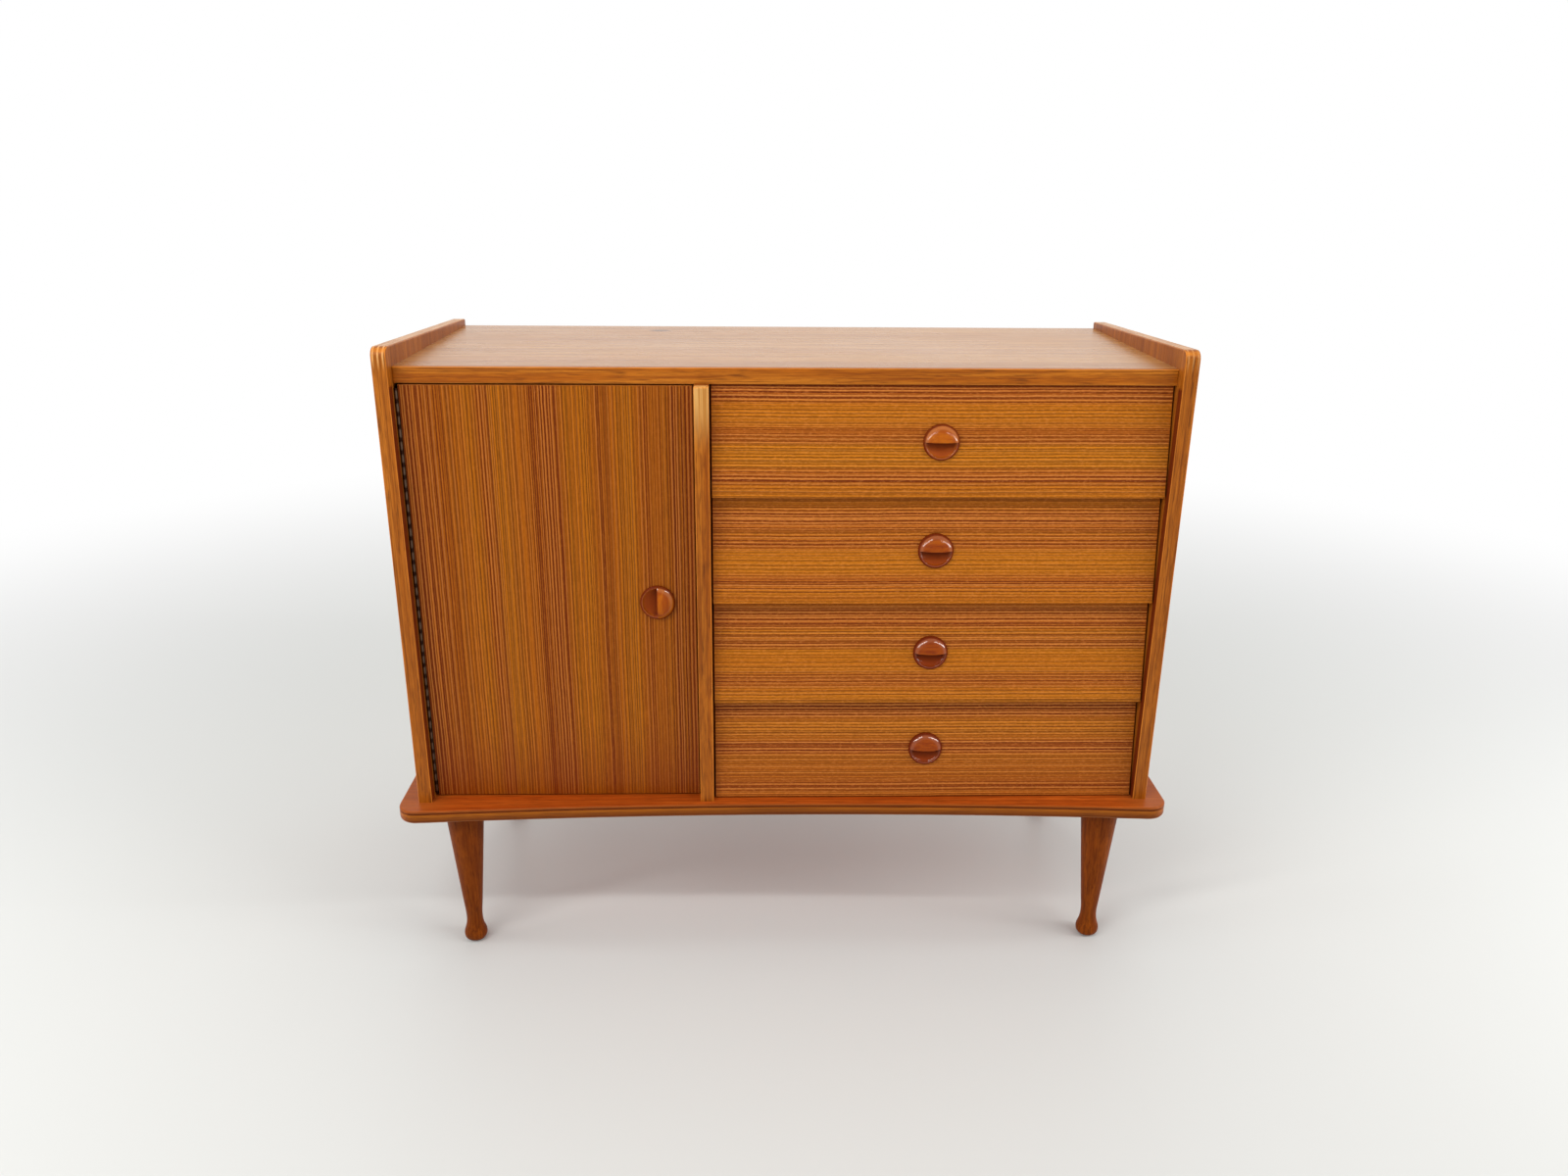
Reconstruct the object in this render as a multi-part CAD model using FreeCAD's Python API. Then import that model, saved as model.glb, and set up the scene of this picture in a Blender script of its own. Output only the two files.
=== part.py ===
import FreeCAD, Part
import math
import os

# A low teak chest: a hinged door on the left, four slanted drawers on the right, raised side panels,
# and a platform board on four turned legs. Millimetres, front towards -Y, floor at Z = 0.

# Carcass
body_width = 1000.0
body_depth = 410.0
body_height = 589.5
side_thickness = 18.5
side_front_rise = 26.0
side_back_rise = 9.5
side_corner_radius = 12.0
side_lipping = 14.0
side_arris = 2.0
top_thickness = 20.0
top_lipping = 8.0
top_arris = 1.5
front_recess = 19.0
cupboard_width = 365.5
divider_thickness = 18.5
divider_lipping = 10.0
divider_arris = 1.8
divider_top_arris = 3.0

# Back panel, let into rebates in the sides and the top
back_thickness = 5.0
rebate_width = 6.0
rebate_depth = 9.0
back_play = 0.4
back_screw_radius = 1.5
back_screw_length = 14.0
back_screw_head_radius = 3.2
back_screw_head = 0.8
back_screw_inset = 4.5
back_side_screw_shares = (0.12, 0.37, 0.63, 0.88)
back_top_screw_shares = (0.1, 0.36, 0.64, 0.9)
back_divider_screw_shares = (0.2, 0.5, 0.8)

# Dowels between the boards of the carcass
dowel_radius = 4.0
dowel_half_length = 12.0
dowel_play = 0.05
dowel_end_play = 0.5
dowel_depth_shares = (0.16, 0.5, 0.82)

# Platform board under the carcass
platform_thickness = 18.5
platform_side_overhang = 25.5
platform_front_overhang = 27.0
platform_front_hollow = 19.0
platform_corner_radius = 26.0
platform_top_arris = 2.4
platform_bottom_arris = 4.0
platform_groove_drop = 3.8
platform_groove_width = 1.2
platform_groove_depth = 1.0

# Turned legs, their studs, inserts and glides
leg_height = 214.0
leg_side_inset = 81.5
leg_front_inset = 47.0
leg_top_radius = 26.5
leg_taper_end = 62.0
leg_taper_end_radius = 13.0
leg_neck_height = 33.0
leg_neck_radius = 11.3
leg_flare_height = 22.0
leg_flare_radius = 13.2
leg_bulb_height = 12.0
leg_bulb_radius = 15.9
leg_foot_radius = 10.0
stud_radius = 4.0
stud_in_leg = 32.0
stud_in_insert = 13.0
insert_radius = 6.5
insert_length = 14.0
insert_play = 0.05
glide_radius = 7.5
glide_thickness = 2.0
glide_nail_radius = 1.3
glide_nail_length = 12.0

# Door
door_thickness = 18.0
door_gap = 2.0
door_end_gap = 1.8
door_arris = 0.8
door_pull_inset = 50.0

# Piano hinge down the left edge of the door
hinge_barrel_radius = 2.0
hinge_pin_radius = 1.1
hinge_side_bore_play = 0.02
hinge_door_bore_play = 0.05
hinge_leaf = 0.8
hinge_leaf_width = 15.0
hinge_leaf_start = 2.4
hinge_web_share = 0.7
hinge_wall_gap = 0.4
hinge_end_gap = 4.0
hinge_knuckles = 35
hinge_knuckle_gap = 0.4
hinge_screws = 7
hinge_screw_radius = 1.3
hinge_screw_head_radius = 2.7
hinge_screw_head = 1.6
hinge_screw_length = 13.0
hinge_screw_play = 0.05

# Door catch, its strike plate, and the stop strip on the divider
catch_length = 40.0
catch_depth = 14.0
catch_height = 13.0
catch_play = 0.4
catch_arris = 0.8
strike_length = 30.0
strike_height = 11.0
strike_thickness = 1.2
strike_drop = 2.0
stop_strip = 12.0

# Cupboard shelf and its pins
shelf_thickness = 16.0
shelf_setback = 62.0
shelf_play = 1.0
shelf_arris = 1.0
shelf_height_share = 0.5
shelf_pin_radius = 2.5
shelf_pin_in = 10.0
shelf_pin_out = 9.0
shelf_pin_shares = (0.15, 0.85)

# Drawers, numbered from the top
drawer_count = 4
drawer_gap = 2.0
drawer_end_gap = 2.0
drawer_front_thickness = 18.0
drawer_bottom_recess = 9.5
drawer_top_recess = 25.5
drawer_front_arris = 0.8
drawer_wall = 12.0
drawer_side_play = 1.5
drawer_lift = 0.4
drawer_head_room = 1.5
drawer_back_drop = 6.0
drawer_floor = 5.0
drawer_floor_drop = 9.0
drawer_groove = 6.0
drawer_floor_play = 0.1

# Runners and the stops behind the drawers
runner_height = 12.0
runner_width = 16.0
runner_setback = 52.0
drawer_stop_depth = 12.0
drawer_stop_height = 14.0
drawer_stop_play = 0.4

# Round turned pulls: one half a raised dome, the other a scooped finger hold inside a rim
pull_radius = 23.0
pull_height = 13.0
pull_edge_height = 3.0
pull_edge_round = 1.6
pull_rim_width = 4.0
pull_rim_height = 3.2
pull_scoop_depth = 5.8
pull_spigot_radius = 20.0
pull_spigot_depth = 9.0
pull_socket_play = 0.05
pull_undercut_half_width = 14.0
pull_undercut_reach = 6.0
pull_undercut_half_height = 6.5
pull_undercut_rise = 1.0

# Small values shared by all cuts
overrun = 2.0
tolerance = 0.001

os.makedirs("parts", exist_ok=True)
Vector = FreeCAD.Vector
ALONG_X = Vector(1, 0, 0)
ALONG_Y = Vector(0, 1, 0)
ALONG_Z = Vector(0, 0, 1)

# Places that follow from the sizes. Rounding its corners takes a little off the platform's front,
# and the whole chest is centred on what is left.
half_width = body_width / 2
platform_half = half_width + platform_side_overhang
hollow_radius = (platform_half ** 2 + platform_front_hollow ** 2) / (2 * platform_front_hollow)
corner_middle = platform_half - platform_corner_radius
corner_reach = math.sqrt((hollow_radius + platform_corner_radius) ** 2 - corner_middle ** 2)
corner_loss = corner_reach - platform_corner_radius - (hollow_radius - platform_front_hollow)
front = (platform_front_overhang - corner_loss - body_depth) / 2
back = front + body_depth
inner = half_width - side_thickness
floor = leg_height + platform_thickness
ceiling = floor + body_height - top_thickness
top = floor + body_height
back_face = back - rebate_width
divider_left = -inner + cupboard_width
divider_right = divider_left + divider_thickness
divider_middle = (divider_left + divider_right) / 2
door_front = front + front_recess
door_back = door_front + door_thickness
hinge_x = -inner + hinge_barrel_radius + hinge_wall_gap
door_left = hinge_x + hinge_barrel_radius + hinge_wall_gap
door_right = divider_left - door_gap
door_low = floor + door_end_gap
door_high = ceiling - door_end_gap
shelf_low = floor + (ceiling - floor) * shelf_height_share
pitch = (ceiling - floor) / drawer_count
slant = drawer_top_recess - drawer_bottom_recess
front_height = pitch - drawer_gap
lean = math.degrees(math.atan2(slant, front_height))


def block(x_span, y_span, z_span):
    """A box between the two values of each span."""
    size = [span[1] - span[0] for span in (x_span, y_span, z_span)]
    return Part.makeBox(*size, Vector(x_span[0], y_span[0], z_span[0]))


def prism_along_x(outline, x_span):
    """A straight prism from an outline of (y, z) points."""
    points = [Vector(x_span[0], y, z) for y, z in outline]
    face = Part.Face(Part.makePolygon(points + points[:1]))
    return face.extrude(ALONG_X * (x_span[1] - x_span[0]))


def soften(shape, radius, chosen):
    """Round every edge for which chosen(edge) is true."""
    return shape.makeFillet(radius, [edge for edge in shape.Edges if chosen(edge)])


def lies_at(edge, axis, value):
    """True where the whole edge lies in the plane axis = value."""
    box = edge.BoundBox
    low, high = getattr(box, axis + "Min"), getattr(box, axis + "Max")
    return abs(low - value) < tolerance and abs(high - value) < tolerance


def cut_all(shape, tools):
    """The shape with every tool cut away."""
    return shape.cut(list(tools))


def keep(name, *solids):
    """Write one node, as one solid or as a group of separate solids."""
    shape = solids[0] if len(solids) == 1 else Part.makeCompound(list(solids))
    shape.exportStep("parts/" + name + ".step")


def span_place(low, high, share):
    """The place at a share of the way from low to high."""
    return low + (high - low) * share


# Dowels: standing ones under and over the upright boards, lying ones into the ends of the top
side_middle = (inner + half_width) / 2
upright_middles = (-side_middle, divider_middle, side_middle)
dowel_places = [span_place(front, back, share) for share in dowel_depth_shares]
base_joints = [(Vector(x, y, floor), ALONG_Z) for x in upright_middles for y in dowel_places]
top_middle = top - top_thickness / 2
top_joints = [(Vector(divider_middle, y, ceiling), ALONG_Z) for y in dowel_places]
top_joints += [(Vector(x, y, top_middle), ALONG_X) for x in (-inner, inner) for y in dowel_places]


def dowel(place, axis, play=0.0, end_play=0.0):
    """A dowel centred on a joint, or with play the bore that it sits in."""
    half = dowel_half_length + end_play
    return Part.makeCylinder(dowel_radius + play, 2 * half, place - axis * half, axis)


dowel_bores = [dowel(*joint, dowel_play, dowel_end_play) for joint in base_joints + top_joints]
keep("base_dowels", *[dowel(*joint) for joint in base_joints])
keep("top_dowels", *[dowel(*joint) for joint in top_joints])


# Screws that hold the back panel: into the sides, the top and the divider
screw_places = []
for share in back_side_screw_shares:
    height = span_place(floor, ceiling, share)
    screw_places += [(-inner - back_screw_inset, height), (inner + back_screw_inset, height)]
for share in back_top_screw_shares:
    screw_places.append((span_place(-inner, inner, share), ceiling + back_screw_inset))
for share in back_divider_screw_shares:
    screw_places.append((divider_middle, span_place(floor, ceiling, share)))


def back_screw(x, z, play=0.0):
    """A round-headed screw through the back panel, or with play its hole."""
    outside = back_face + back_thickness
    shank = Part.makeCylinder(back_screw_radius + play, back_screw_length + play,
                              Vector(x, outside - back_screw_length - play, z), ALONG_Y)
    head = Part.makeCylinder(back_screw_head_radius, back_screw_head, Vector(x, outside, z), ALONG_Y)
    return shank if play else shank.fuse(head).removeSplitter()


back_screw_holes = [back_screw(x, z, dowel_play) for x, z in screw_places]
keep("back_panel_screws", *[back_screw(x, z) for x, z in screw_places])


# Hinge screws: heads flush with their leaf, into the side panel or into the edge of the door
hinge_low = door_low + hinge_end_gap
hinge_high = door_high - hinge_end_gap
hinge_length = hinge_high - hinge_low
hinge_screw_y = door_front + (hinge_leaf_start + hinge_leaf_width) / 2
hinge_screw_pitch = hinge_length / hinge_screws
hinge_screw_heights = [hinge_low + hinge_screw_pitch * (count + 1 / 2) for count in range(hinge_screws)]


def hinge_screw(face_x, axis, height, play=0.0):
    """A countersunk screw driven from face_x along axis, or with play its hole."""
    start = Vector(face_x, hinge_screw_y, height)
    shank_radius = hinge_screw_radius + play
    head = Part.makeCone(hinge_screw_head_radius + play, shank_radius, hinge_screw_head, start, axis)
    shank_start = start + axis * hinge_screw_head
    shank_length = hinge_screw_length - hinge_screw_head + play
    shank = Part.makeCylinder(shank_radius, shank_length, shank_start, axis)
    return head.fuse(shank).removeSplitter()


def hinge_screw_set(face_x, axis, play=0.0):
    return [hinge_screw(face_x, axis, height, play) for height in hinge_screw_heights]


side_leaf_face = -inner + hinge_leaf
door_leaf_face = door_left - hinge_leaf
side_hinge_holes = hinge_screw_set(side_leaf_face, -ALONG_X, hinge_screw_play)
door_hinge_holes = hinge_screw_set(door_leaf_face, ALONG_X, hinge_screw_play)
keep("hinge_side_screws", *hinge_screw_set(side_leaf_face, -ALONG_X))
keep("hinge_door_screws", *hinge_screw_set(door_leaf_face, ALONG_X))


# Shelf pins: brass rods in blind holes in the left side and the divider
shelf_back = back_face - shelf_play
shelf_front = front + shelf_setback
pin_height = shelf_low - shelf_pin_radius
pin_places = [span_place(shelf_front, shelf_back, share) for share in shelf_pin_shares]


def shelf_pin(wall_x, axis, y, play=0.0):
    """A pin that leaves the wall along axis, or with play its hole."""
    start = Vector(wall_x, y, pin_height) - axis * (shelf_pin_in + play)
    return Part.makeCylinder(shelf_pin_radius + play, shelf_pin_in + shelf_pin_out + play, start, axis)


pin_walls = ((-inner, ALONG_X), (divider_left, -ALONG_X))
pin_holes = [shelf_pin(x, axis, y, dowel_play) for x, axis in pin_walls for y in pin_places]
keep("shelf_pins", *[shelf_pin(x, axis, y) for x, axis in pin_walls for y in pin_places])
shelf = block((-inner + shelf_play, divider_left - shelf_play), (shelf_front, shelf_back),
              (shelf_low, shelf_low + shelf_thickness))
keep("cupboard_shelf", soften(shelf, shelf_arris, lambda edge: lies_at(edge, "Y", shelf_front)))


# Side panels: boards with a solid front lipping, a rounded front corner and a top that falls to the back
def side_panel(outside, inside):
    """The whole side, lipping and panel together, with its arrises rounded."""
    outline = ((front, floor), (front, top + side_front_rise), (back, top + side_back_rise), (back, floor))
    board = prism_along_x(outline, (min(outside, inside), max(outside, inside)))
    corner_top = top + side_front_rise

    def is_corner(edge):
        return lies_at(edge, "Y", front) and lies_at(edge, "Z", corner_top)

    def is_front_or_top_arris(edge):
        on_face = lies_at(edge, "X", outside) or lies_at(edge, "X", inside)
        return on_face and not lies_at(edge, "Z", floor) and not lies_at(edge, "Y", back)

    board = soften(board, side_corner_radius, is_corner)
    return soften(board, side_arris, is_front_or_top_arris)


for name, sign in (("left", -1), ("right", 1)):
    side = side_panel(sign * half_width, sign * inner)
    reach = sorted((sign * (inner - overrun), sign * (half_width + overrun)))
    strip_span = (floor - overrun, top + side_front_rise + overrun)
    strip = block(reach, (front - overrun, front + side_lipping), strip_span)
    rebate_reach = sorted((sign * (inner - overrun), sign * (inner + rebate_depth)))
    rebate = block(rebate_reach, (back_face, back + overrun), (floor - overrun, ceiling + rebate_depth))
    cuts = [strip, rebate] + dowel_bores + back_screw_holes + pin_holes + side_hinge_holes
    keep(name + "_side_panel", cut_all(side, cuts))
    keep(name + "_side_lipping", side.common(strip).cut(side_hinge_holes))


# Top panel: a board between the sides, with a solid front lipping and a rebate for the back panel
lipping_back = door_front + top_lipping
top_rebate = block((-inner - overrun, inner + overrun), (back_face, back + overrun),
                   (ceiling - overrun, ceiling + rebate_depth))
top_board = block((-inner, inner), (lipping_back, back), (ceiling, top))
keep("top_panel", cut_all(top_board, [top_rebate] + dowel_bores + back_screw_holes))
top_strip = block((-inner, inner), (door_front, lipping_back), (ceiling, top))
keep("top_lipping", soften(top_strip, top_arris, lambda edge: lies_at(edge, "Y", door_front)))


# Divider: an upright board whose solid lipping stands level with the fronts of the sides
divider_board = block((divider_left, divider_right), (front + divider_lipping, back_face), (floor, ceiling))
keep("divider", cut_all(divider_board, dowel_bores + back_screw_holes + pin_holes))
divider_strip = block((divider_left, divider_right), (front, front + divider_lipping), (floor, ceiling))
divider_strip = soften(divider_strip, divider_top_arris,
                       lambda edge: lies_at(edge, "Y", front) and lies_at(edge, "Z", ceiling))


def is_divider_arris(edge):
    on_side = lies_at(edge, "X", divider_left) or lies_at(edge, "X", divider_right)
    return on_side and edge.BoundBox.YMin < front + tolerance and not lies_at(edge, "Z", floor)


keep("divider_lipping", soften(divider_strip, divider_arris, is_divider_arris))


# Back panel
back_reach = inner + rebate_depth - back_play
back_board = block((-back_reach, back_reach), (back_face, back_face + back_thickness),
                   (floor, ceiling + rebate_depth - back_play))
keep("back_panel", cut_all(back_board, back_screw_holes))


# Platform board: rounded front corners, a hollow front edge and a fine groove round its edge
platform_front = front - platform_front_overhang


def platform_slab(inset, z_span):
    """The platform's plan between two heights, drawn in by inset at the front and the sides."""
    half = platform_half - inset
    ends = platform_front + inset
    behind = back + (overrun if inset else 0)
    corners = [Vector(-half, ends, z_span[0]), Vector(-half, behind, z_span[0]),
               Vector(half, behind, z_span[0]), Vector(half, ends, z_span[0])]
    hollow = Part.Arc(corners[3], Vector(0, ends + platform_front_hollow, z_span[0]), corners[0])
    sides = [Part.makeLine(corners[step], corners[step + 1]) for step in range(3)]
    face = Part.Face(Part.Wire(sides + [hollow.toShape()]))
    slab = face.extrude(ALONG_Z * (z_span[1] - z_span[0]))

    def is_front_corner(edge):
        box = edge.BoundBox
        return box.ZLength > tolerance and box.YMax < ends + tolerance

    return soften(slab, platform_corner_radius - inset, is_front_corner)


platform = platform_slab(0.0, (leg_height, floor))
platform = soften(platform, platform_top_arris,
                  lambda edge: lies_at(edge, "Z", floor) and not lies_at(edge, "Y", back))
platform = soften(platform, platform_bottom_arris,
                  lambda edge: lies_at(edge, "Z", leg_height) and not lies_at(edge, "Y", back))
groove_high = floor - platform_groove_drop
groove_span = (groove_high - platform_groove_width, groove_high)
groove_reach = platform_half + overrun
groove_ring = block((-groove_reach, groove_reach), (platform_front - overrun, back + overrun), groove_span)
groove_ring = groove_ring.cut(platform_slab(platform_groove_depth, groove_span))


# Legs: turned, each on a stud in a threaded insert, with a glide under the foot
leg_x = platform_half - leg_side_inset
leg_places = {
    "front_left": Vector(-leg_x, platform_front + leg_front_inset, 0),
    "front_right": Vector(leg_x, platform_front + leg_front_inset, 0),
    "rear_left": Vector(-leg_x, back - leg_front_inset, 0),
    "rear_right": Vector(leg_x, back - leg_front_inset, 0),
}


def turned_leg():
    """The leg on the Z axis: straight taper, narrow neck, bulb foot."""
    shoulder = Vector(leg_top_radius, 0, leg_height)
    taper_end = Vector(leg_taper_end_radius, 0, leg_taper_end)
    taper = Part.makeLine(shoulder, taper_end)
    slope = taper_end - shoulder
    curve = Part.BSplineCurve()
    curve.interpolate(
        [taper_end, Vector(leg_neck_radius, 0, leg_neck_height),
         Vector(leg_flare_radius, 0, leg_flare_height), Vector(leg_bulb_radius, 0, leg_bulb_height),
         Vector(leg_foot_radius, 0, glide_thickness)],
        InitialTangent=slope.normalize() * (leg_taper_end - leg_neck_height),
        FinalTangent=Vector(-leg_bulb_radius, 0, -glide_thickness))
    foot = Part.makePolygon([Vector(leg_foot_radius, 0, glide_thickness), Vector(0, 0, glide_thickness),
                             Vector(0, 0, leg_height), shoulder])
    outline = Part.Wire([taper, curve.toShape()] + foot.Edges)
    return Part.Face(outline).revolve(Vector(0, 0, 0), ALONG_Z, 360)


def glide():
    """A domed-edge disc with a nail, under the foot."""
    disc = Part.makeCylinder(glide_radius, glide_thickness)
    disc = soften(disc, glide_thickness / 2, lambda edge: lies_at(edge, "Z", 0))
    nail = Part.makeCylinder(glide_nail_radius, glide_nail_length + glide_thickness)
    return disc.fuse(nail).removeSplitter()


stud = Part.makeCylinder(stud_radius, stud_in_leg + stud_in_insert, Vector(0, 0, leg_height - stud_in_leg))
stud_bore = Part.makeCylinder(stud_radius + insert_play, stud_in_leg + insert_length + insert_play,
                              Vector(0, 0, leg_height - stud_in_leg - insert_play))
nail_bore_length = glide_thickness + glide_nail_length + insert_play
nail_bore = Part.makeCylinder(glide_nail_radius + insert_play, nail_bore_length)
insert = Part.makeCylinder(insert_radius, insert_length, Vector(0, 0, leg_height)).cut(stud_bore)
insert_bore = Part.makeCylinder(insert_radius + insert_play, insert_length + insert_play,
                                Vector(0, 0, leg_height))
leg = turned_leg().cut([stud_bore, nail_bore])
for name, place in leg_places.items():
    keep(name + "_leg", leg.translated(place))
keep("leg_studs", *[stud.translated(place) for place in leg_places.values()])
keep("leg_inserts", *[insert.translated(place) for place in leg_places.values()])
keep("leg_glides", *[glide().translated(place) for place in leg_places.values()])
insert_bores = [insert_bore.translated(place) for place in leg_places.values()]
keep("platform", cut_all(platform, [groove_ring] + insert_bores + dowel_bores))


# Pull: a spigot glued into the front, a raised half and a scooped half. Built with Z out of the front.
def pull_shape():
    def at(radius, height):
        return Vector(radius, 0, height)

    def ball_radius(reach, rise):
        """The radius of the ball of which a cap has this reach and rise."""
        return (reach ** 2 + rise ** 2) / (2 * rise)

    base = [at(0, -pull_spigot_depth), at(pull_spigot_radius, -pull_spigot_depth),
            at(pull_spigot_radius, 0), at(pull_radius, 0)]
    base_edges = Part.makePolygon(base).Edges

    dome_radius = ball_radius(pull_radius, pull_height - pull_edge_height)
    dome_centre = pull_height - dome_radius
    round_r = pull_radius - pull_edge_round
    turn = math.asin(round_r / (dome_radius - pull_edge_round))
    round_h = dome_centre + (dome_radius - pull_edge_round) * math.cos(turn)
    middle = (turn + math.pi / 2) / 2

    def on_dome(angle):
        return at(dome_radius * math.sin(angle), dome_centre + dome_radius * math.cos(angle))

    bend = at(round_r + pull_edge_round * math.sin(middle), round_h + pull_edge_round * math.cos(middle))
    dome = [Part.makeLine(base[3], at(pull_radius, round_h)),
            Part.Arc(at(pull_radius, round_h), bend, on_dome(turn)).toShape(),
            Part.Arc(on_dome(turn), on_dome(turn / 2), at(0, pull_height)).toShape(),
            Part.makeLine(at(0, pull_height), base[0])]

    rim_foot = pull_rim_height - pull_rim_width / 2
    rim_inner = pull_radius - pull_rim_width
    bowl_radius = ball_radius(rim_inner, rim_foot + pull_scoop_depth)
    bowl_turn = math.asin(rim_inner / bowl_radius) / 2
    bowl_middle = at(bowl_radius * math.sin(bowl_turn),
                     bowl_radius * (1 - math.cos(bowl_turn)) - pull_scoop_depth)
    dish = [Part.makeLine(base[3], at(pull_radius, rim_foot)),
            Part.Arc(at(pull_radius, rim_foot), at(pull_radius - pull_rim_width / 2, pull_rim_height),
                     at(rim_inner, rim_foot)).toShape(),
            Part.Arc(at(rim_inner, rim_foot), bowl_middle, at(0, -pull_scoop_depth)).toShape(),
            Part.makeLine(at(0, -pull_scoop_depth), base[0])]
    raised_half = Part.Face(Part.Wire(base_edges + dome)).revolve(Vector(0, 0, 0), ALONG_Z, 180)
    scooped_half = Part.Face(Part.Wire(base_edges + dish)).revolve(Vector(0, 0, 0), ALONG_Z, -180)
    stretch = FreeCAD.Matrix()
    stretch.scale(pull_undercut_half_width, pull_undercut_reach, pull_undercut_half_height)
    undercut = Part.makeSphere(1).transformGeometry(stretch)
    undercut.translate(ALONG_Z * pull_undercut_rise)
    return raised_half.cut(undercut).fuse(scooped_half).removeSplitter()


pull = pull_shape()
socket_depth = pull_spigot_depth + pull_socket_play
pull_socket = Part.makeCylinder(pull_spigot_radius + pull_socket_play, socket_depth + overrun,
                                Vector(0, 0, -socket_depth))


def placed(shape, place, turn):
    """A copy of the shape, turned about the origin and then moved to its place."""
    copy = shape.copy()
    copy.Placement = FreeCAD.Placement(place, turn)
    return copy


upright = FreeCAD.Rotation(ALONG_X, 90)
leaning = FreeCAD.Rotation(ALONG_X, 90 - lean)
sideways = FreeCAD.Rotation(ALONG_Y, 90).multiply(upright)


# Door: one flat board between the hinge and the divider
door_pull_place = Vector(door_right - door_pull_inset, door_front, (door_low + door_high) / 2)
door = block((door_left, door_right), (door_front, door_back), (door_low, door_high))
door = soften(door, door_arris, lambda edge: lies_at(edge, "Y", door_front))
keep("door_panel", cut_all(door, [placed(pull_socket, door_pull_place, sideways)] + door_hinge_holes))
keep("door_pull", placed(pull, door_pull_place, sideways))


# Piano hinge: the knuckles of the two leaves take turns along one pin
knuckle_pitch = hinge_length / hinge_knuckles
pin = Part.makeCylinder(hinge_pin_radius, hinge_length, Vector(hinge_x, door_front, hinge_low))
keep("hinge_pin", pin)


def hinge_leaf_shape(wall_x, first, bore_play):
    """A leaf flat on wall_x with every second knuckle from the given one."""
    inward = 1 if wall_x < hinge_x else -1
    leaf_span = sorted((wall_x, wall_x + inward * hinge_leaf))
    web_end = hinge_x - inward * hinge_barrel_radius * hinge_web_share
    web_span = sorted((wall_x, web_end))
    plate_span = (door_front + hinge_leaf_start, door_front + hinge_leaf_width)
    plate = block(leaf_span, plate_span, (hinge_low, hinge_high))
    pieces = []
    for count in range(first, hinge_knuckles, 2):
        low = hinge_low + count * knuckle_pitch + hinge_knuckle_gap / 2
        high = low + knuckle_pitch - hinge_knuckle_gap
        centre = Vector(hinge_x, door_front, low)
        barrel = Part.makeCylinder(hinge_barrel_radius, high - low, centre)
        bore = Part.makeCylinder(hinge_pin_radius + bore_play, high - low, centre)
        web = block(web_span, (door_front, door_front + hinge_leaf_start), (low, high))
        pieces.append(barrel.fuse(web).cut(bore))
    return plate.fuse(pieces).removeSplitter()


keep("hinge_side_leaf", cut_all(hinge_leaf_shape(-inner, 0, hinge_side_bore_play), side_hinge_holes))
keep("hinge_door_leaf", cut_all(hinge_leaf_shape(door_left, 1, hinge_door_bore_play), door_hinge_holes))


# Door catch under the top, its strike plate on the door, and the stop strip on the divider
strike_back = door_back + strike_thickness
catch_front = strike_back + catch_play
catch_x = door_pull_place.x
catch_span = (catch_x - catch_length / 2, catch_x + catch_length / 2)
catch = block(catch_span, (catch_front, catch_front + catch_depth), (ceiling - catch_height, ceiling))
keep("door_catch", soften(catch, catch_arris, lambda edge: lies_at(edge, "Z", ceiling - catch_height)))
strike_high = door_high - strike_drop
strike_span = (catch_x - strike_length / 2, catch_x + strike_length / 2)
keep("strike_plate", block(strike_span, (door_back, strike_back), (strike_high - strike_height, strike_high)))
strip_front = door_back + catch_play
strip_reach = (divider_left - stop_strip, divider_left)
keep("door_stop_strip", block(strip_reach, (strip_front, strip_front + stop_strip), (floor, ceiling)))


# Runners for the drawers, and the stops on their back ends
stop_front = back_face - drawer_stop_depth
runner_walls = (("left", (divider_right, divider_right + runner_width)),
                ("right", (inner - runner_width, inner)))
cell_floors = [floor + pitch * (drawer_count - number) for number in range(1, drawer_count + 1)]
drawer_stops = []
for name, reach in runner_walls:
    runner_span = (front + runner_setback, back_face)
    keep(name + "_runners", *[block(reach, runner_span, (low, low + runner_height)) for low in cell_floors])
    for low in cell_floors:
        stop_low = low + runner_height
        drawer_stops.append(block(reach, (stop_front, back_face), (stop_low, stop_low + drawer_stop_height)))
keep("drawer_stops", *drawer_stops)


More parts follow.
